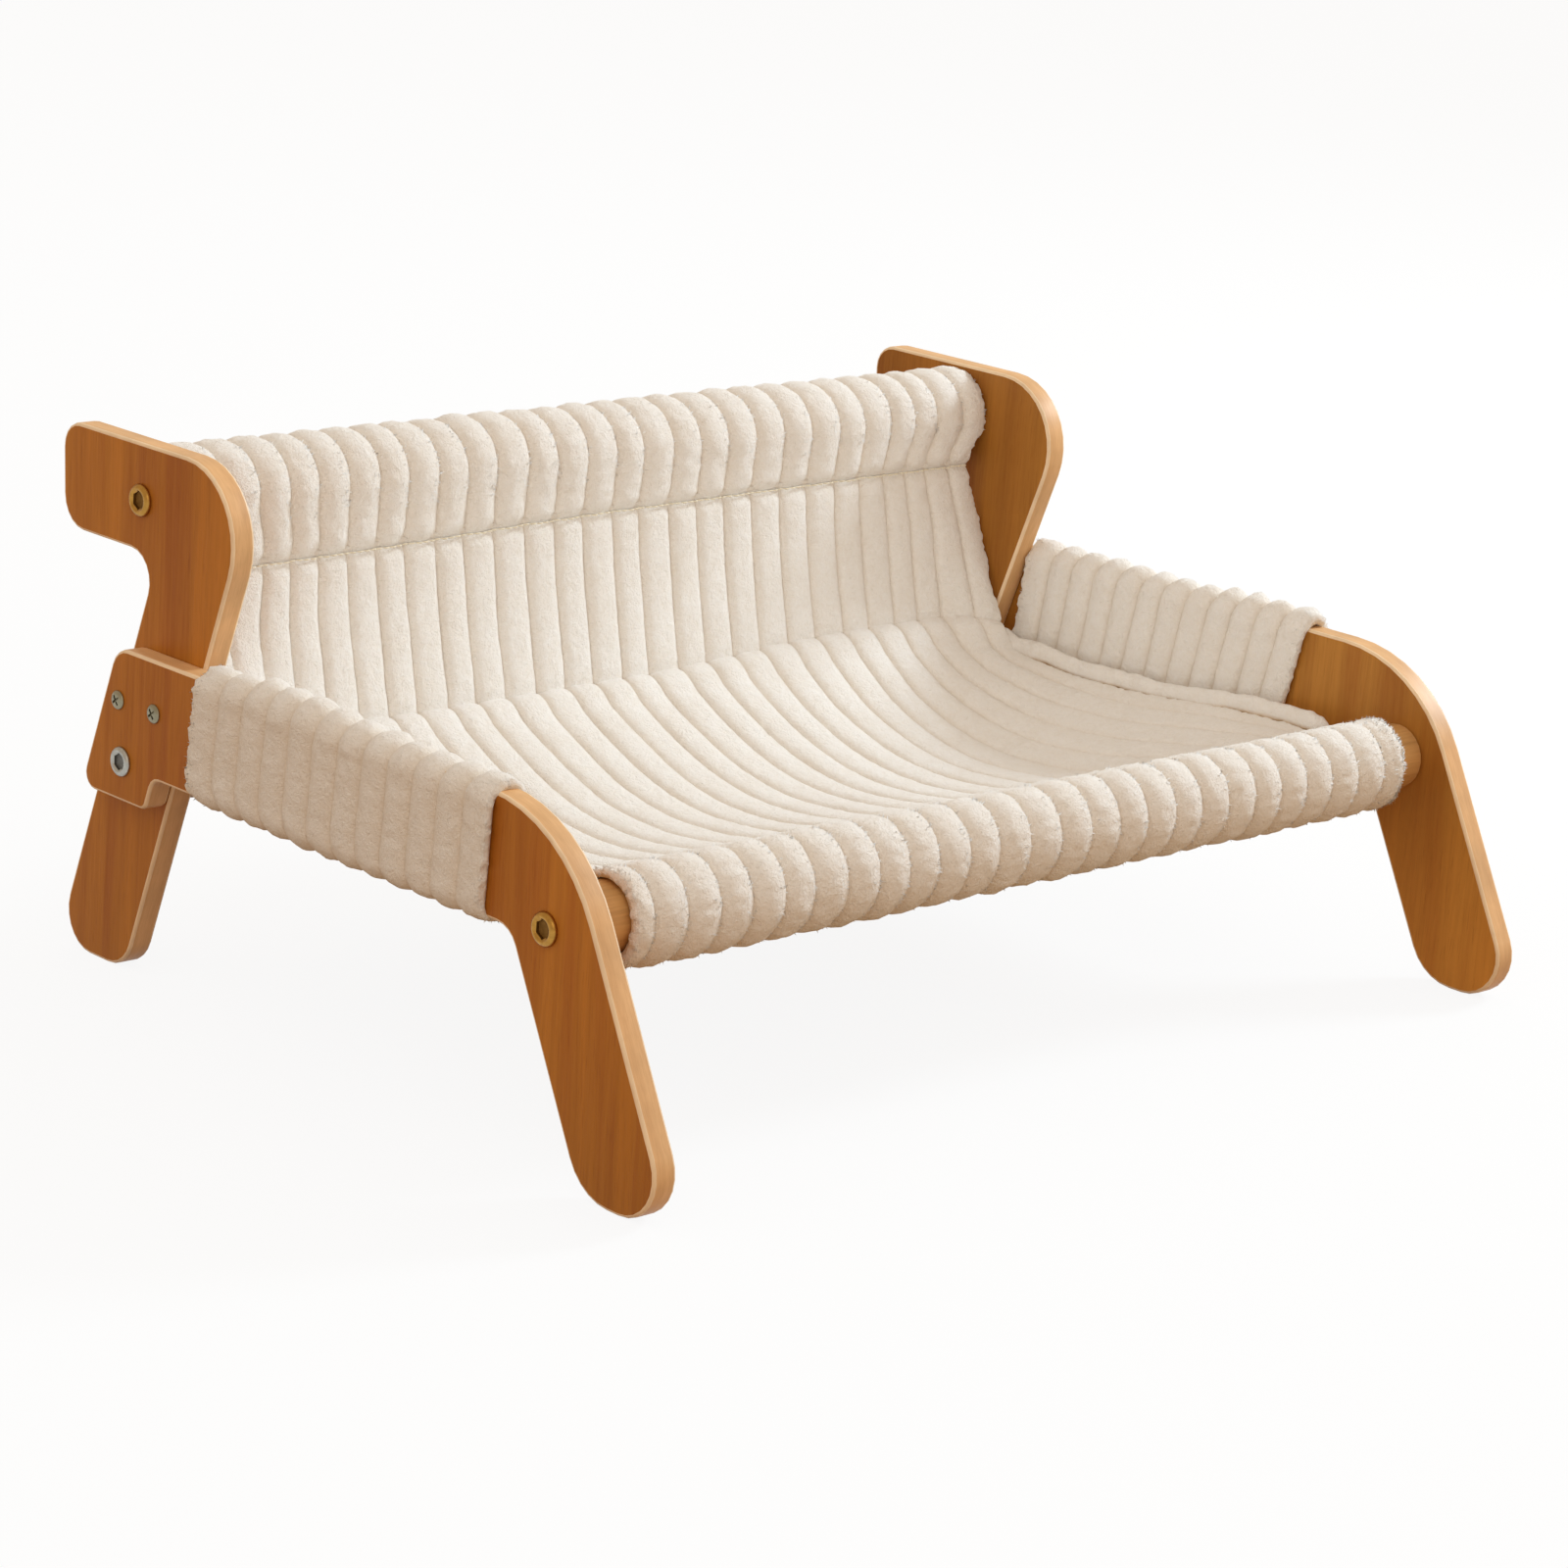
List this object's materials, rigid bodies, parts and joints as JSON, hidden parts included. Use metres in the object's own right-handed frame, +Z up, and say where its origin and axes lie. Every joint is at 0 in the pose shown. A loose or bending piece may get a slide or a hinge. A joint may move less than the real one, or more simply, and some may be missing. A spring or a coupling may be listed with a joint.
{
  "type": "cat lounge chair",
  "caption": "Low cat lounge chair: a ribbed cream plush sling with backrest and arm sleeves hung on dowels between bolted plywood sides.",
  "frame": {"origin": "on the floor under the middle of the chair's length, width and depth", "axes": "+Z up, +Y from the open front towards the backrest, +X to the viewer's right when the chair is seen from its front"},
  "size_m": [0.6136, 0.4742, 0.2665],
  "materials": {
    "board_wood": "satin oiled plywood",
    "dowel_wood": "satin oiled dowel",
    "plush": "deep matt corded plush",
    "brass_fastener": "polished plated",
    "zinc_fastener": "bright zinc plated"
  },
  "bodies": {
    "root": {"side_panel_left": "board_wood", "side_panel_right": "board_wood", "upright_left": "board_wood", "upright_right": "board_wood", "front_rail": "dowel_wood", "back_rail": "dowel_wood", "top_rail": "dowel_wood", "front_bolt_left": "brass_fastener", "front_bolt_right": "brass_fastener", "top_bolt_left": "brass_fastener", "top_bolt_right": "brass_fastener", "back_bolt_left": "zinc_fastener", "back_bolt_right": "zinc_fastener", "front_barrel_nut_left": "zinc_fastener", "front_barrel_nut_right": "zinc_fastener", "back_barrel_nut_left": "zinc_fastener", "back_barrel_nut_right": "zinc_fastener", "top_barrel_nut_left": "zinc_fastener", "top_barrel_nut_right": "zinc_fastener", "plate_screw_front_left": "zinc_fastener", "plate_screw_front_right": "zinc_fastener", "plate_screw_rear_left": "zinc_fastener", "plate_screw_rear_right": "zinc_fastener", "top_pocket": "plush", "back_panel": "plush", "back_pocket": "plush", "seat_panel": "plush", "front_pocket": "plush", "seat_hem_left": "plush", "seat_hem_right": "plush", "arm_sleeve_left": "plush", "arm_sleeve_right": "plush"}
  },
  "joints": []
}
